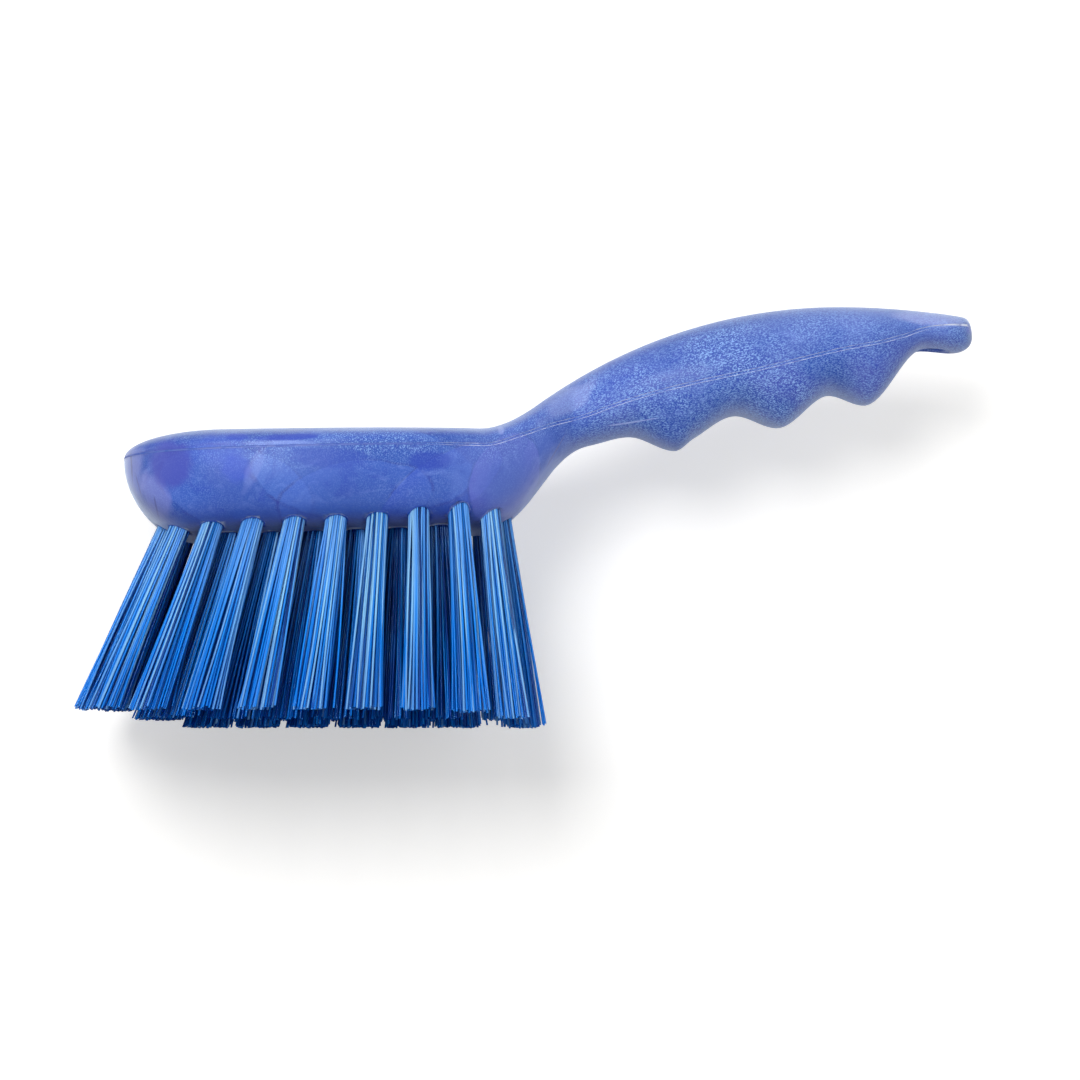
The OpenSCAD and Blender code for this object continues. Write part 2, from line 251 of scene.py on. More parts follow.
# Half of the width seen from above. Of each squareness, 2 is an ellipse.
TOE_SQUARE = 3
HEEL_SQUARE = 1.9
PLAN_FILLET = 12  # how softly the head's outline joins the neck's
TAIL_WIDTH = 0.9  # width of the last swell, as a share of the grip's
head_half_w = head_w / 2
taper_end_x = heel_x + heel_taper_l


def head_plan(x):
    if x < widest_from_toe:
        return head_half_w * rounded((widest_from_toe - x) / widest_from_toe, TOE_SQUARE)
    return head_half_w * rounded((x - widest_from_toe) / (taper_end_x - widest_from_toe), HEEL_SQUARE)


handle_plan = Curve([
    (heel_x, neck_w / 2),
    (neck_end_x, neck_w / 2),
    (palm_x, grip_w / 2),
    (swell_x(2), grip_w / 2 * TAIL_WIDTH),
    (end_flat_x, end_w / 2),
    (end_x, end_w / 2),
])


def half_width(x):
    if x < widest_from_toe:
        return head_plan(x)
    return soft_max(head_plan(x), handle_plan(x), PLAN_FILLET)


# Both ends are rounded off
TOE_SIDE_SQUARE = 1.95
END_SQUARE = 2.4
end_plan_round = end_w / 2


def top_z(x):
    wide = wide_line(x)
    at_toe = risen(x / toe_crown_l, TOE_SIDE_SQUARE)
    return wide + (top_line(x) - wide) * at_toe * risen((end_x - x) / END_ROUND, END_SQUARE)


def under_z(x):
    wide = wide_line(x)
    at_toe = risen(x / toe_round_l, TOE_SIDE_SQUARE)
    return wide - (wide - under_line(x)) * at_toe * risen((end_x - x) / END_UNDER_ROUND, END_SQUARE)


def side_y(x):
    return half_width(x) * risen((end_x - x) / end_plan_round, END_SQUARE)


# The section is squarer on the head than on the handle
HEAD_TOP_SQUARE = 3.2
HEAD_UNDER_SQUARE = 4
HANDLE_SQUARE = 2.3
square_run = 2.2 * heel_taper_l


def head_share(x):
    return clamp01((taper_end_x - x) / square_run)


def top_square(x):
    return between(HANDLE_SQUARE, HEAD_TOP_SQUARE, head_share(x))


def under_square(x):
    return between(HANDLE_SQUARE, HEAD_UNDER_SQUARE, head_share(x))


def section_point(x, angle):
    """A point of the skin, at an angle round the section's widest line."""
    c, s = math.cos(angle), math.sin(angle)
    n = top_square(x) if s >= 0 else under_square(x)
    r = (abs(c) ** n + abs(s) ** n) ** (-1 / n)
    wide = wide_line(x)
    reach = top_z(x) - wide if s >= 0 else wide - under_z(x)
    return (x, side_y(x) * r * c, wide + reach * r * s)


# Where the holes are: a ring round the edge of the field, and rows inside it
RING = 24  # holes round the edge of the field
ROW_HOLES = [7, 7, 6]  # holes in the middle row and in each pair of rows beside it
TOE_RING_SQUARE = 3.6
HEEL_RING_SQUARE = 3.5
ROW_STEPS = 3  # spaces from the middle row to the ring, at the side
ROW_END = 1.3  # distance of a row's last hole from the ring, in the row's spaces
EXACT = 12  # decimals kept of a cosine, so that a right angle gives 0
ring_heel_x = heel_x - heel_margin
ring_mid_x = (toe_margin + ring_heel_x) / 2
ring_half_l = (ring_heel_x - toe_margin) / 2
ring_half_w = head_half_w - side_margin


def squarer(c, n):
    """A cosine or sine, changed so that a circle drawn with it has the squareness n."""
    c = round(c, EXACT)
    return math.copysign(abs(c) ** (2 / n), c)


def oval_point(side, degrees, square):
    a = math.radians(degrees)
    return (
        ring_mid_x + side * ring_half_l * squarer(math.cos(a), square),
        ring_half_w * squarer(math.sin(a), square),
    )


toe_quarter = [oval_point(-1, a, TOE_RING_SQUARE) for a in range(91)]
heel_quarter = [oval_point(1, a, HEEL_RING_SQUARE) for a in range(90, -1, -1)]


def share_along(points, t):
    runs = [math.dist(a, b) for a, b in zip(points, points[1:])]
    left = sum(runs) * t
    for i, run in enumerate(runs):
        if left <= run or i == len(runs) - 1:
            return tuple(between(p, q, left / run) for p, q in zip(points[i], points[i + 1]))
        left -= run


def ring_hole(t):
    """A hole of the ring, from the toe at 0 round by the heel at 2 to the toe again at 4."""
    if t > 2:
        x, y = ring_hole(4 - t)
        return (x, -y)
    return share_along(toe_quarter, t) if t < 1 else share_along(heel_quarter, t - 1)


def row_reach(y, square):
    return ring_half_l * rounded(abs(y) / ring_half_w, square)


def row_hole(y, t):
    start = ring_mid_x - row_reach(y, TOE_RING_SQUARE)
    end = ring_mid_x + row_reach(y, HEEL_RING_SQUARE)
    return (between(start, end, t), y)


holes = [ring_hole(4 * i / RING) for i in range(RING)]
for row in range(-2, 3):
    n = ROW_HOLES[abs(row)]
    row_y = row * ring_half_w / ROW_STEPS
    holes += [row_hole(row_y, (i + ROW_END) / (n - 1 + 2 * ROW_END)) for i in range(n)]


# A tuft's line: its mouth on the underside, and the way that it leans
def mouth(hole):
    x, y = hole
    wide = wide_line(x)
    return Vector((x, y, wide - (wide - under_z(x)) * rounded(abs(y) / side_y(x), under_square(x))))


def way(hole):
    x, y = hole
    lean = between(-toe_lean, heel_lean, (x - toe_margin) / (ring_heel_x - toe_margin))
    out = side_lean * y / ring_half_w
    return Vector((math.tan(math.radians(lean)), math.tan(math.radians(out)), -1)).normalized()


def cross_axes(way_along):
    """Two directions square to a line and to each other."""
    a = Vector((0, 1, 0)).cross(way_along).normalized()
    return a, way_along.cross(a)


def tip_z(hole):
    x, y = hole
    toe = toe_tip_rise * max(0, (flat_from_toe - x) / (flat_from_toe - toe_margin))
    side = side_tip_rise * max(0, (abs(y) - flat_w / 2) / (ring_half_w - flat_w / 2))
    return math.hypot(toe, side)


# The origin lies under the middle of the whole brush, whose foremost point is a strand's tip
ROOT_SIDES = 6
ROOT_BURY = 1  # depth by which a strand starts inside its root
toe_hole = (toe_margin, 0)
root_flat_r = (hole_r - root_gap) * math.cos(math.pi / ROOT_SIDES)
root_r = (2 * root_flat_r + strand_gap) / 3
strand_r = (root_r - strand_gap) / 2


def fan_reach():
    """X of the foremost strand tip of the solids."""
    d, m = way(toe_hole), mouth(toe_hole)
    a, _ = cross_axes(d)
    root = m - d * (root_inset + ROOT_BURY) + a * root_r
    tip = m + d * ((m.z - tip_z(toe_hole)) / -d.z) + a * tip_r
    return tip.x + strand_r * (tip - root).normalized().z


SHIFT_X = -(fan_reach() + end_x) / 2


def row_point(p):
    """A point of the brush, in metres in the row frame."""
    return Vector(((p[0] + SHIFT_X) * MM, p[1] * MM, p[2] * MM))


# Mesh helpers
def new_object(name, points, faces, smooth=True):
    mesh = bpy.data.meshes.new(name)
    mesh.from_pydata([tuple(p) for p in points], [], faces)
    mesh.validate()
    if smooth:
        mesh.shade_smooth()
    obj = bpy.data.objects.new(name, mesh)
    bpy.context.scene.collection.objects.link(obj)
    return obj


def set_floats(mesh, name, values):
    attribute = mesh.attributes.new(name, "FLOAT", "POINT")
    attribute.data.foreach_set("value", np.array(values, np.float32))


def tube_faces(rings, sides, closed_ends=True, base=0):
    faces = []
    for j in range(rings - 1):
        for i in range(sides):
            k = (i + 1) % sides
            a, b = base + j * sides, base + (j + 1) * sides
            faces.append((a + i, a + k, b + k, b + i))
    if closed_ends:
        faces.append(tuple(base + i for i in reversed(range(sides))))
        faces.append(tuple(base + (rings - 1) * sides + i for i in range(sides)))
    return faces


# The moulding: a fine skin, with the holes cut out of it
SECTION = 112  # points round a section
NOSE_STEPS, FLAT_STEPS, HEEL_STEPS, GRIP_STEPS, END_STEPS = 22, 40, 34, 84, 16
LAST_STEP = 0.3  # room left at the end of the handle, in steps
HOLE_SIDES, HANG_HOLE_SIDES = 32, 64
LIP_R, LIP_STEPS = 0.8, 5  # the hang hole's rims are rounded
CUT_MARGIN = 0.02  # by which the hang hole's cutter passes the skin
NEAR_SKIN = 0.02  # a point of the cut mesh that is nearer than this lies on the skin
SAME_SIDE = 0.5  # least cosine between the normals of the skin and of a face that is part of it
FLAT_REACH = 0.5  # least height of a section's half, where a share of it is taken


def steps(a, b, n):
    """The ends of n equal steps from a to b."""
    return [between(a, b, i / n) for i in range(1, n + 1)]


def station_list():
    quarter = math.pi / 2
    end_start_x = end_x - end_plan_round
    nose = [toe_round_l * (1 - math.cos(quarter * i / NOSE_STEPS)) for i in range(1, NOSE_STEPS + 1)]
    flat = steps(toe_round_l, heel_x - heel_taper_l, FLAT_STEPS)
    heel = steps(heel_x - heel_taper_l, neck_end_x, HEEL_STEPS)
    grip = steps(neck_end_x, end_start_x, GRIP_STEPS)
    turns = [quarter * i / (END_STEPS + LAST_STEP) for i in range(1, END_STEPS + 1)]
    end = [end_x - end_plan_round * (1 - math.sin(a)) for a in turns]
    return nose + flat + heel + grip + end


def skin(name):
    stations = station_list()
    points = []
    for x in stations:
        ring = [section_point(x, 2 * math.pi * i / SECTION) for i in range(SECTION)]
        points += [row_point(p) for p in ring]
    faces = [tuple(reversed(f)) for f in tube_faces(len(stations), SECTION, closed_ends=False)]
    first, last = len(points), len(points) + 1
    points += [row_point((0, 0, wide_line(0))), row_point((end_x, 0, wide_line(end_x)))]
    tail = (len(stations) - 1) * SECTION
    for i in range(SECTION):
        k = (i + 1) % SECTION
        faces.append((first, i, k))
        faces.append((last, tail + k, tail + i))
    return new_object(name, points, faces)


def lathe(profile, origin, axis, sides):
    """Points and faces of a closed solid round an axis; the profile lists (radius, place)."""
    turn = axis.to_track_quat("Z", "Y").to_matrix()
    points = []
    for r, h in profile:
        for i in range(sides):
            a = 2 * math.pi * i / sides
            points.append(origin + turn @ Vector((r * math.cos(a), r * math.sin(a), h)))
    return points, tube_faces(len(profile), sides)


def hang_hole_profile(low, high):
    """Half outline of the hang hole, which flares with a round lip at both rims."""
    r = hang_hole_d / 2
    flare_r = r + LIP_R
    arc = [math.pi / 2 * i / LIP_STEPS for i in range(LIP_STEPS + 1)]
    profile = [(flare_r + LIP_R, low - LIP_R), (flare_r + CUT_MARGIN, low - CUT_MARGIN)]
    profile += [(flare_r - LIP_R * math.sin(a), low + LIP_R - LIP_R * math.cos(a)) for a in arc]
    profile += [(flare_r - LIP_R * math.cos(a), high - LIP_R + LIP_R * math.sin(a)) for a in arc]
    profile += [(flare_r + CUT_MARGIN, high + CUT_MARGIN), (flare_r + LIP_R, high + LIP_R)]
    return profile


def cutters():
    points, faces = [], []

    def add(profile, origin, axis, sides):
        new_points, new_faces = lathe(profile, origin, axis, sides)
        faces.extend(tuple(i + len(points) for i in f) for f in new_faces)
        points.extend(row_point(p) for p in new_points)

    for hole in holes:
        add([(hole_r, -hole_depth), (hole_r, hole_d)], mouth(hole), way(hole), HOLE_SIDES)
    x = end_x - hang_inset
    profile = hang_hole_profile(under_z(x), top_z(x))
    add(profile, Vector((x, 0, 0)), Vector((0, 0, 1)), HANG_HOLE_SIDES)
    return new_object("cutters", points, faces)


def cut(obj, tool):
    holes_cut = obj.modifiers.new("holes", "BOOLEAN")
    holes_cut.operation = "DIFFERENCE"
    holes_cut.solver = "EXACT"
    holes_cut.object = tool
    graph = bpy.context.evaluated_depsgraph_get()
    mesh = bpy.data.meshes.new_from_object(obj.evaluated_get(graph))
    obj.modifiers.clear()
    obj.data = mesh


def smooth_normal(mesh, tree, place):
    """The whole skin's own normal at a point, so that cuts leave no dents in its shading."""
    at, _, index, distance = tree.find_nearest(place)
    if at is None or distance > NEAR_SKIN * MM:
        return None
    corners = mesh.polygons[index].vertices
    weights = poly_3d_calc([mesh.vertices[v].co for v in corners], at)
    normal = Vector()
    for v, w in zip(corners, weights):
        normal += mesh.vertices[v].normal * w
    return normal.normalized()


def shade_as(mesh, whole, tree):
    """Shade a cut mesh as the whole skin is, with sharp edges round the cuts."""
    at_vertex = [smooth_normal(whole, tree, v.co) for v in mesh.vertices]
    mesh.shade_smooth()
    on_skin = []
    for polygon in mesh.polygons:
        found = [at_vertex[v] for v in polygon.vertices]
        on_skin.append(all(n is not None and n.dot(polygon.normal) > SAME_SIDE for n in found))
    owners = {}
    for polygon, outer in zip(mesh.polygons, on_skin):
        for key in polygon.edge_keys:
            owners.setdefault(key, []).append(outer)
    for edge in mesh.edges:
        edge.use_edge_sharp = len(set(owners[edge.key])) > 1
    normals = [Vector()] * len(mesh.loops)
    for polygon, outer in zip(mesh.polygons, on_skin):
        if outer:
            for i in polygon.loop_indices:
                normals[i] = at_vertex[mesh.loops[i].vertex_index]
    mesh.normals_split_custom_set([tuple(n) for n in normals])


RUN_X = np.linspace(0, end_x, 400)
RUN_STEPS = np.hypot(np.diff(RUN_X), np.diff([wide_line(x) for x in RUN_X]))
RUN_LENGTH = np.concatenate([[0], np.cumsum(RUN_STEPS)])


def run_at(x):
    """Length along the widest line from the toe, in metres."""
    return float(np.interp(x, RUN_X, RUN_LENGTH)) * MM


def mark_places(mesh):
    """Keep at each point how far it is along the brush, and how high in its section, from -1 to 1."""
    rises, runs = [], []
    for vertex in mesh.vertices:
        x = max(0.0, min(end_x, vertex.co.x / MM - SHIFT_X))
        z = vertex.co.z / MM
        wide = wide_line(x)
        reach = top_z(x) - wide if z > wide else wide - under_z(x)
        rises.append(max(-1.0, min(1.0, (z - wide) / max(FLAT_REACH, reach))))
        runs.append(run_at(x))
    set_floats(mesh, "rise", rises)
    set_floats(mesh, "run", runs)


def build_moulding():
    """The moulding, and a search tree of its skin without the holes."""
    whole, obj, tool = skin("whole_skin"), skin("moulding"), cutters()
    cut(obj, tool)
    shape = whole.data
    faces = [tuple(p.vertices) for p in shape.polygons]
    tree = BVHTree.FromPolygons([v.co for v in shape.vertices], faces)
    shade_as(obj.data, shape, tree)
    mark_places(obj.data)
    for spare in (whole, tool):
        bpy.data.objects.remove(spare)
    return obj, tree


# Thin flash where the halves of the mould met, and burrs round the drilled holes
WAVES = ((1.7, 1.0, 1.0), (4.3, 0.7, 2.1), (9.1, 0.5, 3.7))  # pace, height and phase


def ripple(t, seed):
    """An uneven wave between -1 and 1."""
    waves = [high * math.sin(pace * t + phase * seed) for pace, high, phase in WAVES]
    return sum(waves) / sum(high for _, high, _ in WAVES)


FLASH_START_X, FLASH_END_GAP = 0.02, 1.2
FLASH_GROWS_X, FLASH_GROWS_L = 60, 30  # it is higher on the handle than on the head
FLASH_H = (-0.04, 0.19)  # on the head and on the handle, as in the next two
FLASH_UNEVEN = (0.02, 0.06)
FLASH_HALF_W = (0.2, 0.36)
FLASH_SHOULDER = 0.6  # its height halfway to its edge, as a share
FLASH_FADE_GAP, FLASH_FADE_L = 4, 6  # it fades out before the end of the handle
FLASH_HIDDEN, FLASH_BURY = -0.05, 0.06  # where it has faded out, and how deep its edges lie
FLASH_CLIMB, FLASH_CLIMB_L = 0.5, 5  # it climbs this share of the end, from this far before it
LUMP_PACE, LUMP_SHIFT, LUMP_SEED = 0.55, 40, 0.7  # the shift makes the two sides differ


def flash_place(x, side):
    rise = FLASH_CLIMB * clamp01((x - end_flat_x + FLASH_CLIMB_L) / (end_flat_l + FLASH_CLIMB_L))
    wide = wide_line(x)
    return (x, side * side_y(x) * rounded(rise, HANDLE_SQUARE), wide + rise * (top_z(x) - wide))


def flash_section(x, lumps):
    """Points across the flash: distance out of the skin, and distance up along it."""
    on_handle = clamp01((x - FLASH_GROWS_X) / FLASH_GROWS_L)
    h = between(*FLASH_H, on_handle) + between(*FLASH_UNEVEN, on_handle) * lumps
    fade = clamp01((end_x - FLASH_FADE_GAP - x) / FLASH_FADE_L)
    h = max(FLASH_HIDDEN, between(FLASH_HIDDEN, h, fade))
    half = between(*FLASH_HALF_W, on_handle)
    shoulder = FLASH_SHOULDER * h
    return ((-FLASH_BURY, -half), (shoulder, -half / 2), (h, 0), (shoulder, half / 2), (-FLASH_BURY, half))


def parting_flash():
    stations = [x for x in [FLASH_START_X] + station_list() if x < end_x - FLASH_END_GAP]
    path = [flash_place(x, -1) for x in reversed(stations)]
    path += [flash_place(x, 1) for x in stations]
    points, faces = [], []
    for i, place in enumerate(path):
        before, after = path[max(0, i - 1)], path[min(len(path) - 1, i + 1)]
        along = (Vector(after) - Vector(before)).normalized()
        out = along.cross(Vector((0, 0, 1))).normalized()
        up = out.cross(along).normalized()
        lumps = ripple(LUMP_PACE * place[0] + LUMP_SHIFT * (place[1] > 0), LUMP_SEED)
        section = flash_section(place[0], lumps)
        points += [row_point(Vector(place) + out * a + up * b) for a, b in section]
        if i:
            a, b = len(section) * (i - 1), len(section) * i
            faces += [(a + k, b + k, b + k + 1, a + k + 1) for k in range(len(section) - 1)]
    return new_object("parting_flash", points, faces)


BURR_SIDES = 40
BURR_GAP = 0.04  # from the hole's wall to the middle of the burr's root
BURR_H, BURR_UNEVEN_H = 0.02, 0.13
BURR_W, BURR_UNEVEN_W = 0.14, 0.26
RAY_START = 9  # distance from the mouth, outside the skin, of a ray that finds the skin


def burr_section(number, angle):
    """Points across a burr: distance out from its hole's wall, and rise from the skin."""
    h = BURR_H + BURR_UNEVEN_H * clamp01(0.5 + 0.5 * ripple(3 * angle, number))
    wide = BURR_W + BURR_UNEVEN_W * clamp01(0.5 + 0.6 * ripple(2 * angle, number + 9))
    return ((-0.06, -0.35), (-0.07, 0.3 * h), (0.02, h), (0.45 * wide, 0.7 * h), (wide, -0.12))


def hole_burrs(tree):
    """A thin uneven rim of plastic that the drill raised round each hole."""
    points, faces = [], []
    for number, hole in enumerate(holes):
        d, m = way(hole), mouth(hole)
        a, b = cross_axes(d)
        sections = []
        for i in range(BURR_SIDES):
            angle = 2 * math.pi * i / BURR_SIDES
            out = a * math.cos(angle) + b * math.sin(angle)
            at_wall = m + out * (hole_r + BURR_GAP)
            hit = tree.ray_cast(row_point(at_wall + d * RAY_START), -d)[0]
            rim = row_point(at_wall) if hit is None else hit
            sections.append([rim + (out * r + d * rise) * MM for r, rise in burr_section(number, angle)])
        base, across = len(points), len(sections[0])
        points += [p for section in sections for p in section]
        for i in range(BURR_SIDES):
            p, q = base + across * i, base + across * ((i + 1) % BURR_SIDES)
            faces += [(p + j, q + j, q + j + 1, p + j + 1) for j in range(across - 1)]
    return new_object("hole_burrs", points, faces)


# Tufts: each is a hole full of filaments that spread towards their cut tips
FILAMENT_R = 0.245
RINGS = ((0.0, 1), (0.53, 6), (1.06, 12), (1.59, 19), (2.11, 26))  # radius and count
PACK_R = RINGS[-1][0]
OUTER_SHARE = 0.72  # share of that radius past which a filament is an outer one
FILAMENT_SIDES = 5
FILAMENT_STEPS = 7
WIRE_GAP = 0.3
FILAMENT_START = hole_depth - fold_h - anchor_w - WIRE_GAP  # depth in the hole, clear of the wire
MOUTH_GAP = 0.6  # a filament runs straight as far as this below the mouth
TIP_SPREAD, FIELD_SPREAD = 1.64, 2.1  # width at the tips against the mouth: the ring's, and the field's
SPREAD_POWER = 1.12
SPREAD_UNEVEN, TIP_UNEVEN, BOW_UNEVEN, CUT_UNEVEN = 0.07, 0.26, 0.2, 0.9
STRAY_SHARE, STRAY_LEAST, STRAY_MOST, STRAY_RISE = 0.05, 0.35, 0.8, 0.35
TOE_GAP, SIDE_GAP = 0.35, 0.3  # least distance of a tip from the sides of the solids' box
LOWEST_X = cad_bounds[0].x / MM
SIDE_Y = cad_bounds[1].y / MM

# Tones go from 0, dark, to 1, pale
TONE, TONE_UNEVEN, TUFT_TONE_UNEVEN = 0.6, 0.26, 0.04
# Painted shade: tufts inside the field are given a darker tone, standing in for the shade they lie in
FIELD_PAINTED_SHADE = 0.3
# Painted shade: tufts towards the toe are given a darker tone
TOE_PAINTED_SHADE, TOE_PAINTED_SHADE_X, TOE_PAINTED_SHADE_L = 0.18, 22, 10


def packed_places():
    places = []
    for radius, count in RINGS:
        turn = rng.uniform(0, math.tau)
        angles = [turn + math.tau * i / count for i in range(count)]
        places += [(radius * math.cos(a), radius * math.sin(a)) for a in angles]
    return places


def filament_line(hole, u, v, full_spread, stray):
    """Points of one filament's centre line, from inside its hole to its tip."""
    d, m = way(hole), mouth(hole)
    a, b = cross_axes(d)
    spread = full_spread + rng.gauss(0, SPREAD_UNEVEN) + stray
    jitter_u, jitter_v = rng.gauss(0, TIP_UNEVEN), rng.gauss(0, TIP_UNEVEN)
    bow_u, bow_v = rng.gauss(0, BOW_UNEVEN), rng.gauss(0, BOW_UNEVEN)
    tip_height = max(0.0, tip_z(hole) + rng.uniform(0.0, CUT_UNEVEN) + STRAY_RISE * abs(stray))

    def offset(t):
        wide = 1 + (spread - 1) * t ** SPREAD_POWER
        bow = 4 * t * (1 - t)
        along_a = u * wide + jitter_u * t + bow_u * bow
        along_b = v * wide + jitter_v * t + bow_v * bow
        return a * along_a + b * along_b

    reach = (m.z + offset(1).z - tip_height) / -d.z
    tip = m + d * reach + offset(1)
    side_limit = SIDE_Y - SIDE_GAP
    pull = Vector((
        max(0, LOWEST_X - SHIFT_X + TOE_GAP - tip.x),
        max(0, -side_limit - tip.y) - max(0, tip.y - side_limit),
        0,
    ))
    line = [m - d * depth + a * u + b * v for depth in (FILAMENT_START, MOUTH_GAP)]
    for i in range(1, FILAMENT_STEPS + 1):
        t = i / FILAMENT_STEPS
        line.append(m + d * reach * t + offset(t) + pull * t * t)
    return line


def filament_points(line, turn):
    """Points round a filament's line; its tip is cut level."""
    points = []
    last = len(line) - 1
    for i, place in enumerate(line):
        along = (line[min(i + 1, last)] - line[max(i - 1, 0)]).normalized()
        side, other = cross_axes(along)
        for k in range(FILAMENT_SIDES):
            angle = turn + math.tau * k / FILAMENT_SIDES
            rim = side * math.cos(angle) + other * math.sin(angle)
            if i == last:
                rim = Vector((rim.x, rim.y, 0))
            points.append(row_point(place + rim * FILAMENT_R))
    return points


def build_tuft(number, hole):
    points, faces, tones, tips = [], [], [], []
    inside_field = number > RING
    # Painted shade: the darker tone of a tuft near the toe
    toe_painted_shade = TOE_PAINTED_SHADE * clamp01((TOE_PAINTED_SHADE_X - hole[0]) / TOE_PAINTED_SHADE_L)
    # Painted shade: a tuft inside the field, and one near the toe, gets a darker tone
    tuft_tone = rng.gauss(0, TUFT_TONE_UNEVEN) - (FIELD_PAINTED_SHADE if inside_field else toe_painted_shade)
    spread = FIELD_SPREAD if inside_field else TIP_SPREAD
    for u, v in packed_places():
        outer = math.hypot(u, v) > OUTER_SHARE * PACK_R
        stray = rng.uniform(STRAY_LEAST, STRAY_MOST) if outer and rng.random() < STRAY_SHARE else 0
        turn = rng.uniform(0, math.tau)
        line = filament_line(hole, u, v, spread, stray)
        tone = clamp01(TONE + tuft_tone + rng.gauss(0, TONE_UNEVEN))
        base = len(points)
        points += filament_points(line, turn)
        cap = len(points)
        points += points[-FILAMENT_SIDES:]
        faces += tube_faces(len(line), FILAMENT_SIDES, closed_ends=False, base=base)
        faces.append(tuple(cap + k for k in range(FILAMENT_SIDES)))
        tones += [tone] * (len(points) - base)
        tips += [0.0] * (cap - base) + [1.0] * FILAMENT_SIDES
    name = f"tuft_{number:02d}"
    obj = new_object("filaments_" + name, points, faces)
    set_floats(obj.data, "tone", tones)
    set_floats(obj.data, "tip", tips)
    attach(obj, "root")
    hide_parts(name)
    return obj


# Materials
def linear(r, g, b):
    """A colour as it is written on a screen, 0 to 255, in Blender's linear values."""
    def one(c):
        c /= 255
        return c / 12.92 if c <= 0.04045 else ((c + 0.055) / 1.055) ** 2.4
    return (one(r), one(g), one(b), 1.0)


class Shader:
    """A few short names for building a node tree."""

    def __init__(self, name):
        self.material = bpy.data.materials.new(name)
        self.material.use_nodes = True
        self.tree = self.material.node_tree
        self.surface = self.tree.nodes["Principled BSDF"]

    def set(self, socket, given):
        if isinstance(given, bpy.types.NodeSocket):
            self.tree.links.new(given, socket)
        else:
            socket.default_value = given

    def finish(self, **inputs):
        """Set the surface's inputs; an underline stands for a space in a name."""
        for name, given in inputs.items():
            self.set(self.surface.inputs[name.replace("_", " ")], given)
        return self.material

    def node(self, kind, inputs=None, **settings):
        node = self.tree.nodes.new("ShaderNode" + kind)
        for key, given in settings.items():
            setattr(node, key, given)
        for key, given in (inputs or {}).items():
            self.set(node.inputs[key], given)
        return node

    def place(self):
        return self.node("TexCoord").outputs["Object"]

    def split(self, vector):
        return self.node("SeparateXYZ", {0: vector}).outputs

    def vector(self, x, y, z):
        return self.node("CombineXYZ", {0: x, 1: y, 2: z}).outputs[0]

    def attribute(self, name):
        return self.node("Attribute", attribute_name=name).outputs["Fac"]

    def calc(self, operation, a, b=0.0):
        return self.node("Math", {0: a, 1: b}, operation=operation).outputs[0]

    def plus(self, a, b):
        return self.calc("ADD", a, b)

    def times(self, first, *others):
        for other in others:
            first = self.calc("MULTIPLY", first, other)
        return first

    def highest(self, first, *others):
        for other in others:
            first = self.calc("MAXIMUM", first, other)
        return first

    def ease(self, given, low, high, to_low=0.0, to_high=1.0):
        """Goes smoothly between the last two numbers as the input goes between low and high."""
        inputs = {0: given, 1: low, 2: high, 3: to_low, 4: to_high}
        return self.node("MapRange", inputs, interpolation_type="SMOOTHSTEP").outputs[0]

    def mix_floats(self, share, a, b):
        return self.node("Mix", {0: share, 2: a, 3: b}).outputs[0]

    def mix(self, share, a, b):
        return self.node("Mix", {0: share, 6: a, 7: b}, data_type="RGBA").outputs[2]

    def mix_shaders(self, share, a, b):
        return self.node("MixShader", {0: share, 1: a, 2: b}).outputs[0]

    def noise(self, place, scale, detail=2.0, roughness=0.5, distortion=0.0):
        return self.node("TexNoise", {
            "Vector": place, "Scale": scale, "Detail": detail, "Roughness": roughness,
            "Distortion": distortion,
        }).outputs[0]

    def swing(self, noise, width):
        """A noise turned into a number that swings round 0."""
        return self.times(self.calc("SUBTRACT", noise, 0.5), width)

    def oval(self, x, z, cx, cz, half_x, half_z, tilt):
        """1 on the rim of a tilted oval in the side view, and less inside; sizes in millimetres."""
        c, s = math.cos(math.radians(tilt)), math.sin(math.radians(tilt))
        du, dv = self.calc("SUBTRACT", x, cx * MM), self.calc("SUBTRACT", z, cz * MM)
        halves = []
        for half, a, b in ((half_x, c, s), (half_z, -s, c)):
            part = self.calc("DIVIDE", self.plus(self.times(du, a), self.times(dv, b)), half * MM)
            halves.append(self.times(part, part))
        return self.calc("SQRT", self.plus(*halves))
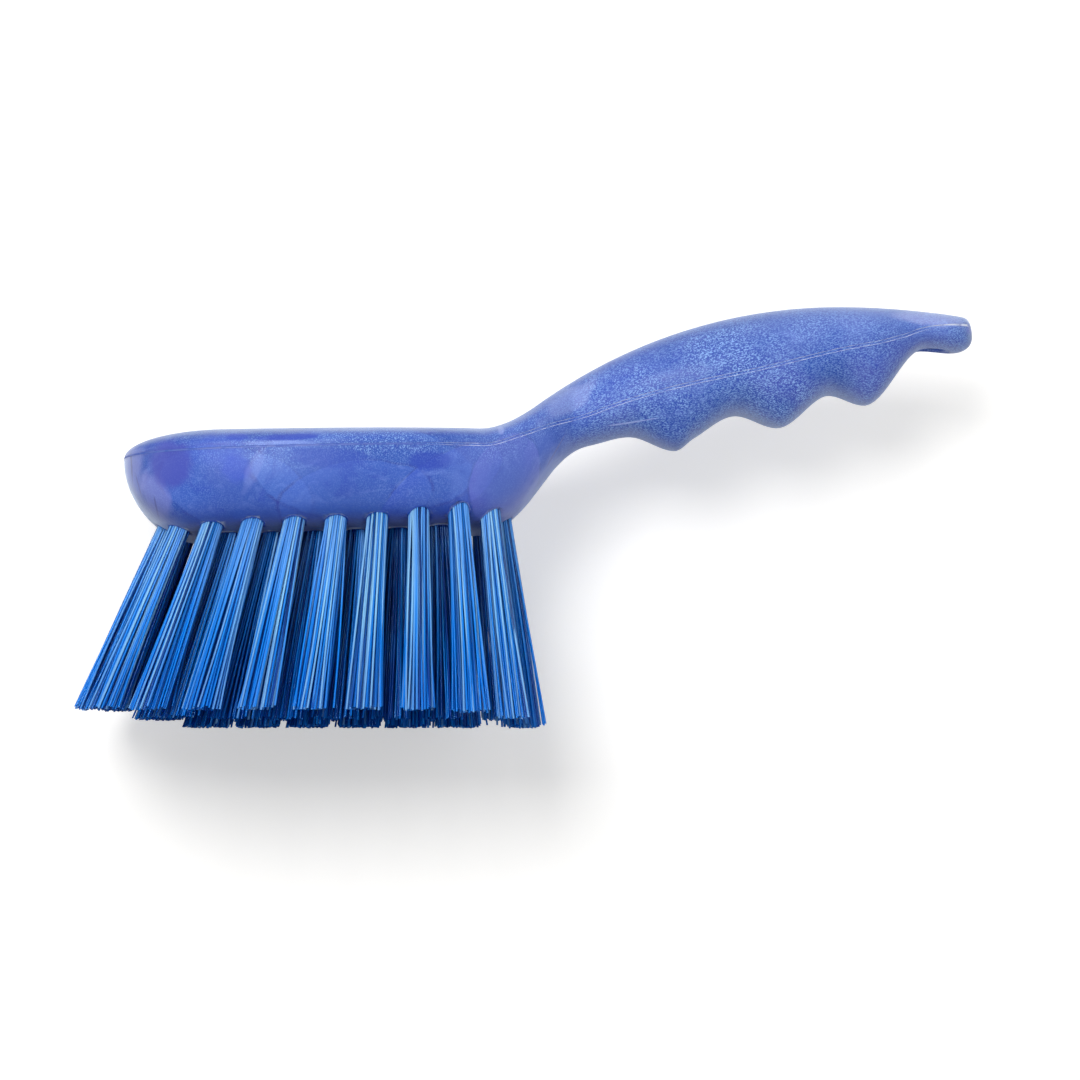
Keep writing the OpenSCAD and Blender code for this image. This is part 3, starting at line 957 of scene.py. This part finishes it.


# Laps and patches of the near side: middle X and Z and half sizes in millimetres, tilt in
# degrees, share and tint. Four pale patches, at the toe and at the heel, are painted light.
# The last four patches are fine cracks.
LAPS = (
    (-66.0, 52.0, 17.0, 9.0, -12, 0.45, linear(66, 100, 192)),
    (-38.6, 56.0, 24.5, 10.5, 0, 0.40, linear(68, 110, 198)),
    (-40.0, 50.0, 17.0, 8.0, 8, 0.45, linear(54, 92, 188)),
    (-21.0, 52.5, 16.0, 6.5, 34, 0.55, linear(48, 78, 188)),
    (-6.5, 55.0, 7.5, 11.0, -28, 0.70, linear(80, 88, 186)),
)
PATCHES = (
    # Painted rim light: the next two pale patches, at the toe
    (-91.0, 57.0, 5.0, 9.0, 8, 0.50, linear(128, 134, 196)),
    (-83.6, 50.5, 3.4, 7.0, 22, 0.45, linear(132, 138, 204)),
    (-80.5, 57.6, 5.4, 6.4, 18, 0.80, linear(44, 54, 156)),
    (-70.0, 60.5, 6.5, 4.5, 0, 0.40, linear(40, 76, 186)),
    (-66.0, 56.5, 3.6, 4.2, 20, 0.45, linear(20, 62, 186)),
    (-54.4, 63.1, 7.5, 0.9, 3, 0.80, linear(6, 48, 164)),
    (-66.0, 63.2, 3.0, 0.9, 0, 0.70, linear(12, 52, 168)),
    (-55.0, 61.6, 9.0, 0.8, 0, 0.45, linear(122, 146, 220)),
    (-23.6, 58.3, 5.2, 2.2, 0, 0.75, linear(10, 52, 164)),
    (-46.0, 58.6, 11.0, 2.4, -3, 0.50, linear(12, 56, 164)),
    (-62.0, 56.0, 1.6, 6.5, -22, 0.20, linear(142, 158, 224)),
    (-7.6, 65.9, 0.8, 1.2, 0, 0.45, linear(168, 180, 228)),
    # Painted light: a pale patch along the heel's lower edge
    (2.4, 52.5, 4.0, 10.0, -30, 0.38, linear(164, 174, 226)),
    (8.0, 73.4, 9.0, 2.6, 36, 0.25, linear(176, 188, 230)),
    # Painted light: the heel made broadly paler
    (-5.0, 58.0, 15.0, 12.0, 0, 0.28, linear(110, 136, 214)),
    (22.1, 68.8, 6.6, 0.18, 8.8, 0.60, linear(170, 185, 235)),
    (91.0, 93.4, 9.0, 2.0, -5, 0.35, linear(178, 184, 228)),
    (100.8, 91.2, 1.3, 1.6, 0, 0.60, linear(60, 76, 190)),
    (-89.2, 57.6, 0.22, 3.6, 4, 0.75, linear(66, 66, 130)),
    (-87.6, 53.5, 0.18, 3.2, 16, 0.55, linear(66, 66, 130)),
    (-83.4, 47.8, 0.22, 3.2, 12, 0.7, linear(58, 58, 120)),
    (5.2, 62.0, 0.18, 5.0, -30, 0.5, linear(90, 92, 150)),
)
SECTION_H = 0.011  # height in metres that a rise of 1 stands for in a pattern


def moulding_places(s):
    """What the moulding's pattern is drawn from, with streaks that run along the handle."""
    place = s.place()
    x, y, z = s.split(place)
    rise, run = s.attribute("rise"), s.attribute("run")
    upward = s.times(rise, SECTION_H)
    warp_u = s.swing(s.noise(place, 70), 0.016)
    warp_v = s.swing(s.noise(s.vector(z, x, y), 95), 0.010)
    flow = s.vector(s.times(s.plus(run, warp_u), 0.3), s.plus(upward, warp_v), s.times(y, 0.7))
    return SimpleNamespace(
        place=place,
        x=x,
        z=z,
        rise=rise,
        flow=flow,
        fine=s.vector(s.times(run, 0.5), upward, y),
        broad=s.noise(place, 34, 3, 0.55, 1.4),
        on_handle=s.ease(x, -0.004, 0.016),
        near=s.ease(s.plus(y, warp_u), 0.008, -0.007),
    )


def foam_ground(s, at):
    """The broad colour: blue and violet-blue, deeper at the neck."""
    colour = s.mix(s.ease(at.broad, 0.4, 0.66), linear(4, 62, 156), linear(30, 68, 158))
    neck = s.times(s.ease(at.x, -0.012, 0.004), s.ease(at.x, 0.036, 0.014), 0.6)
    colour = s.mix(neck, colour, linear(20, 64, 172))
    violet = s.times(s.ease(s.noise(at.place, 46, 1), 0.46, 0.6), at.on_handle)
    violet = s.times(violet, s.ease(at.rise, 0.3, -0.5), 0.7)
    return s.mix(violet, colour, linear(68, 80, 170))


def with_laps(s, at, colour):
    """Where one front of foam lapped over another: a change of tone with a thin dark edge."""
    wobble = s.swing(s.noise(at.place, 120, 3), 0.22)
    broken = s.times(at.near, s.ease(s.noise(at.place, 180), 0.4, 0.6), 0.6)
    for *oval, share, tint in LAPS:
        far = s.plus(s.oval(at.x, at.z, *oval), wobble)
        inside = s.times(s.ease(far, 1.0, 0.96), at.near, share, s.ease(far, 0.2, 1.0, 0.3, 1.0))
        colour = s.mix(inside, colour, tint)
        edge = s.times(s.ease(far, 0.96, 1.0), s.ease(far, 1.05, 1.0), broken)
        colour = s.mix(edge, colour, linear(30, 48, 140))
    return colour


def with_streaks(s, at, colour):
    """Flow streaks of paler and darker foam."""
    pale = s.ease(s.noise(at.flow, 520, 4, 0.62, 0.4), 0.5, 0.68)
    pale = s.times(pale, s.ease(s.noise(at.place, 60), 0.36, 0.6, 0.3, 0.9), 0.34)
    colour = s.mix(pale, colour, linear(108, 136, 208))
    dark = s.times(s.ease(s.noise(at.flow, 380, 3, 0.6, 0.6), 0.54, 0.7), 0.5)
    return s.mix(dark, colour, linear(16, 56, 162))


def bubble_density(s, at):
    """Bubbles are dense in the upper band of the head and along the handle."""
    upper = s.times(s.ease(at.rise, -0.5, 0.05), s.ease(at.x, -0.092, -0.07), 0.9)
    dense = s.highest(upper, at.on_handle, 0.22)
    return s.times(dense, s.ease(s.noise(at.place, 52, 3, 0.6, 0.8), 0.34, 0.6, 0.45, 1.0))


def bubble_marks(s, at, dense):
    """Fine bubbles that broke at the skin: specks on the head, and scratches on the handle."""
    specks = s.ease(s.noise(at.place, 3900, 1), 0.53, 0.59)
    scratches = s.ease(s.noise(at.fine, 4600, 1), 0.49, 0.56)
    return s.times(s.mix_floats(at.on_handle, specks, scratches), dense)


def with_bubbles(s, at, dense, bubbles, colour):
    """Paler towards the top at the end of the handle, then bubbles and pits."""
    paler = s.times(s.ease(at.x, 0.03, 0.085), s.ease(s.plus(at.rise, at.broad), 0.35, 1.3), 0.45)
    colour = s.mix(paler, colour, linear(126, 146, 214))
    colour = s.mix(s.times(bubbles, 0.72), colour, linear(140, 180, 230))
    pits = s.times(s.ease(s.noise(at.fine, 3600, 1, 0.5, 0.2), 0.52, 0.6), dense, 0.66)
    return s.mix(pits, colour, linear(14, 46, 156))


def with_patches(s, at, colour):
    """Single patches, four of them painted light at the toe and the heel, and fine cracks."""
    ragged = s.swing(s.noise(at.place, 240), 0.9)
    for *oval, share, tint in PATCHES:
        far = s.plus(s.oval(at.x, at.z, *oval), ragged)
        colour = s.mix(s.times(s.ease(far, 1.15, 0.6), at.near, share), colour, tint)
    return colour


def moulding_material():
    s = Shader("foamed_plastic")
    at = moulding_places(s)
    dense = bubble_density(s, at)
    bubbles = bubble_marks(s, at, dense)
    colour = foam_ground(s, at)
    colour = with_laps(s, at, colour)
    colour = with_streaks(s, at, colour)
    colour = with_bubbles(s, at, dense, bubbles, colour)
    colour = with_patches(s, at, colour)
    # Painted shade: the head's underside, near and between the tufts, is darkened towards navy
    under = s.times(s.ease(at.rise, -0.6, -0.98), s.ease(at.x, 0.0, -0.02), 0.85)
    colour = s.mix(under, colour, linear(4, 32, 118))

    gloss = s.ease(s.noise(at.place, 90, 3), 0.3, 0.7, 0.34, 0.48)
    grain = s.plus(s.noise(at.place, 900, 3, 0.6), s.times(bubbles, -0.35))
    grain = s.plus(grain, s.times(s.noise(at.place, 130), 1.6))
    bump = s.node("Bump", {"Strength": 0.35, "Distance": 0.00012, "Height": grain})
    return s.finish(
        Base_Color=colour,
        Roughness=s.plus(gloss, s.times(bubbles, 0.1)),
        Specular_IOR_Level=0.45,
        Sheen_Weight=0.7,
        Sheen_Roughness=0.38,
        Sheen_Tint=(0.76, 0.87, 1.0, 1.0),
        Normal=bump.outputs[0],
    )


def flash_material():
    """Worn pale on the handle, and close to the foam's colour on the head and round the holes."""
    s = Shader("flash_plastic")
    place = s.place()
    x, _, z = s.split(place)
    paler = s.ease(s.noise(place, 500, 3), 0.36, 0.56, 0.35, 1.0)
    past_head = s.ease(x, -0.026, -0.012, 0.1, 1.0)
    above_holes = s.ease(z, 0.05, 0.058, 0.25, 1.0)
    pale = s.times(paler, past_head, above_holes)
    return s.finish(Base_Color=s.mix(pale, linear(26, 76, 180), linear(226, 232, 250)), Roughness=0.42)


def bristle_material():
    """Each filament has its own tone, the palest partly a painted highlight; the lower half is bluer, the
    upper part has a painted highlight, and the cut tips are clear blue.
    """
    s = Shader("bristle_filament")
    z = s.split(s.place())[2]
    tone, tip = s.attribute("tone"), s.attribute("tip")
    colour = s.mix(s.ease(tone, 0.1, 0.62), linear(0, 34, 108), linear(0, 140, 246))
    # The palest tones are partly a painted highlight, besides the filaments' own paler colour
    colour = s.mix(s.ease(tone, 0.62, 0.9), colour, linear(140, 204, 246))
    colour = s.mix(s.ease(z, 0.03, 0.004, 0.0, 0.4), colour, linear(0, 78, 190))
    # Painted highlight: paler towards the top, on the lighter filaments
    painted_top_highlight = s.times(s.ease(z, 0.02, 0.044, 0.0, 0.4), s.ease(tone, 0.3, 0.6))
    colour = s.mix(painted_top_highlight, colour, linear(150, 194, 236))
    along = s.vector(s.times(z, 30), tone, 0.0)
    colour = s.mix(s.ease(s.noise(along, 3), 0.45, 0.7, 0.0, 0.3), colour, linear(30, 124, 220))
    colour = s.mix(s.times(tip, 0.85), colour, linear(8, 116, 220))
    return s.finish(
        Base_Color=colour,
        Roughness=s.ease(tone, 0.0, 1.0, 0.14, 0.28),
        Specular_IOR_Level=0.5,
        Specular_Tint=(0.36, 0.68, 1.0, 1.0),
    )


def steel_material():
    """Drawn wire, with fine lines across its length."""
    s = Shader("anchor_wire_steel")
    stretched = s.node("Mapping", {"Vector": s.place(), "Scale": (400, 400, 4000)}).outputs[0]
    lines = s.noise(stretched, 1.0, 3)
    return s.finish(
        Base_Color=s.mix(lines, linear(196, 198, 202), linear(228, 228, 230)),
        Metallic=1.0,
        Roughness=s.ease(lines, 0.3, 0.7, 0.28, 0.42),
    )


# The brush
moulding, skin_tree = build_moulding()
moulding.name = "moulding"
moulding.data.materials.clear()
moulding.data.materials.append(moulding_material())
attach(moulding, "root")
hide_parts("handle_block")

flash_finish = flash_material()
extras = [parting_flash(), hole_burrs(skin_tree)]
for piece in extras:
    piece.data.materials.append(flash_finish)
    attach(piece, "root")

bristle_finish = bristle_material()
tufts = [build_tuft(i + 1, hole) for i, hole in enumerate(holes)]
for tuft in tufts:
    tuft.data.materials.append(bristle_finish)

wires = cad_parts["anchor_wires"]
wires.data.materials.clear()
wires.data.materials.append(steel_material())

# Stage: a floor, and a backdrop close behind as when the brush lies on a white sheet
STAGE_WHITE = (0.8, 0.79, 0.765, 1.0)
PURE_WHITE = (1.0, 1.0, 1.0, 1.0)
FLOOR_GLOW, WALL_GLOW = 0.5, 0.4
GLOW_GROWS_FROM, GLOW_GROWS_TO = 0.22, 0.6  # distances from the brush
HALF_STAGE, WALL_FOOT, WALL_Y = 3, -2, 0.0415


def stage_material(name, camera_glow, gives_light):
    """White from its front, and see-through from behind and to the light on its way to others.

    It glows more away from the brush, where the lamps don't reach, but only to the camera.
    """
    s = Shader(name)
    rays = s.node("LightPath").outputs
    distance = s.node("VectorMath", {0: s.place()}, operation="LENGTH").outputs["Value"]
    glow = s.ease(distance, GLOW_GROWS_FROM, GLOW_GROWS_TO, camera_glow, 1.0)
    white = s.node("BsdfDiffuse", {"Color": STAGE_WHITE}).outputs[0]
    glowing = s.node("Emission", {"Color": PURE_WHITE, "Strength": glow}).outputs[0]
    lit = s.node("AddShader", {0: white, 1: glowing}).outputs[0]
    shown = s.mix_shaders(rays["Is Camera Ray"], white, lit)
    unseen = s.highest(s.node("NewGeometry").outputs["Backfacing"], rays["Is Shadow Ray"])
    if not gives_light:
        unseen = s.highest(unseen, rays["Is Diffuse Ray"])
    clear = s.node("BsdfTransparent").outputs[0]
    s.set(s.tree.nodes["Material Output"].inputs[0], s.mix_shaders(unseen, shown, clear))
    s.tree.nodes.remove(s.surface)
    return s.material


def plane(name, corners, material):
    obj = new_object(name, corners, [(0, 1, 2, 3)], smooth=False)
    obj.data.materials.append(material)
    return obj


def corners_between(low_u, low_v, high_u, high_v):
    return (low_u, low_v), (high_u, low_v), (high_u, high_v), (low_u, high_v)


floor_corners = corners_between(-HALF_STAGE, -HALF_STAGE, HALF_STAGE, HALF_STAGE)
floor_white = stage_material("floor_white", FLOOR_GLOW, False)
floor = plane("floor", [(x, y, 0) for x, y in floor_corners], floor_white)
wall_corners = corners_between(-HALF_STAGE, WALL_FOOT, HALF_STAGE, HALF_STAGE)
wall_white = stage_material("backdrop_white", WALL_GLOW, True)
wall = plane("backdrop", [(x, WALL_Y, z) for x, z in wall_corners], wall_white)

# Lamps: three light everything, and three the brush alone, so that its shadows stay as they are
LAMP_TARGET = Vector((0, 0, 0.05))


def collect(name, pieces):
    group = bpy.data.collections.new(name)
    for piece in pieces:
        group.objects.link(piece)
    return group


def softbox(name, place, size, strength, receivers):
    light = bpy.data.lights.new(name, "AREA")
    light.shape = "SQUARE"
    light.size = size
    light.energy = strength
    lamp = bpy.data.objects.new(name, light)
    lamp.location = place
    lamp.rotation_euler = (LAMP_TARGET - Vector(place)).to_track_quat("-Z", "Y").to_euler()
    lamp.visible_camera = False
    bpy.context.scene.collection.objects.link(lamp)
    if receivers:
        lamp.light_linking.receiver_collection = receivers


moulding_only = collect("moulding_only", [moulding])
whole_brush = collect("whole_brush", [moulding] + extras + tufts)
softbox("key", (-0.36, -1.2, 0.44), 0.45, 10.4, None)
softbox("fill", (0.9, -0.9, 0.15), 1.0, 2.2, None)
softbox("top", (-0.2, -0.3, 0.95), 0.8, 2.8, None)
softbox("left", (-1.0, -0.25, 0.3), 0.7, 2.6, moulding_only)
softbox("low", (0.1, -0.8, -0.55), 1.0, 3.2, moulding_only)
softbox("back", (0.25, 1.1, 0.3), 1.0, 4.0, whole_brush)

# The world: white where it is seen, straight or in a reflection, and dimmer as a lamp
WORLD_LIGHT = 0.32
SEEN_BY = ("Is Camera Ray", "Is Transmission Ray", "Is Glossy Ray")


def studio_world():
    world = bpy.data.worlds.new("studio")
    world.use_nodes = True
    nodes, links = world.node_tree.nodes, world.node_tree.links
    rays = nodes.new("ShaderNodeLightPath").outputs
    seen = rays[SEEN_BY[0]]
    for ray in SEEN_BY[1:]:
        either = nodes.new("ShaderNodeMath")
        either.operation = "MAXIMUM"
        links.new(seen, either.inputs[0])
        links.new(rays[ray], either.inputs[1])
        seen = either.outputs[0]
    strength = nodes.new("ShaderNodeMapRange")
    strength.inputs["To Min"].default_value = WORLD_LIGHT
    strength.inputs["To Max"].default_value = 1.0
    links.new(seen, strength.inputs["Value"])
    background = nodes["Background"]
    background.inputs["Color"].default_value = PURE_WHITE
    links.new(strength.outputs["Result"], background.inputs["Strength"])
    return world


scene = bpy.context.scene
scene.world = studio_world()
scene.view_settings.view_transform = "Standard"

# Camera, at the photograph's angle: from a little towards the toe, and looking slightly up
CAMERA_TURN, CAMERA_TILT = math.radians(4), math.radians(3.5)
CAMERA_AIM = Vector((0.002548, 0, 0.04277))
CAMERA_DISTANCE = 0.8
LENS, SENSOR_W = 117.2, 36  # millimetres
right = Vector((math.cos(CAMERA_TURN), -math.sin(CAMERA_TURN), 0))
ahead = Vector((math.sin(CAMERA_TURN), math.cos(CAMERA_TURN), 0))
forward = ahead * math.cos(CAMERA_TILT) + Vector((0, 0, math.sin(CAMERA_TILT)))
up = right.cross(forward)
camera_data = bpy.data.cameras.new("camera")
camera_data.sensor_width = SENSOR_W
camera_data.lens = LENS
camera = bpy.data.objects.new("camera", camera_data)
facing = Matrix((right, up, -forward)).transposed().to_4x4()
camera.matrix_world = Matrix.Translation(CAMERA_AIM - forward * CAMERA_DISTANCE) @ facing
scene.collection.objects.link(camera)
scene.camera = camera
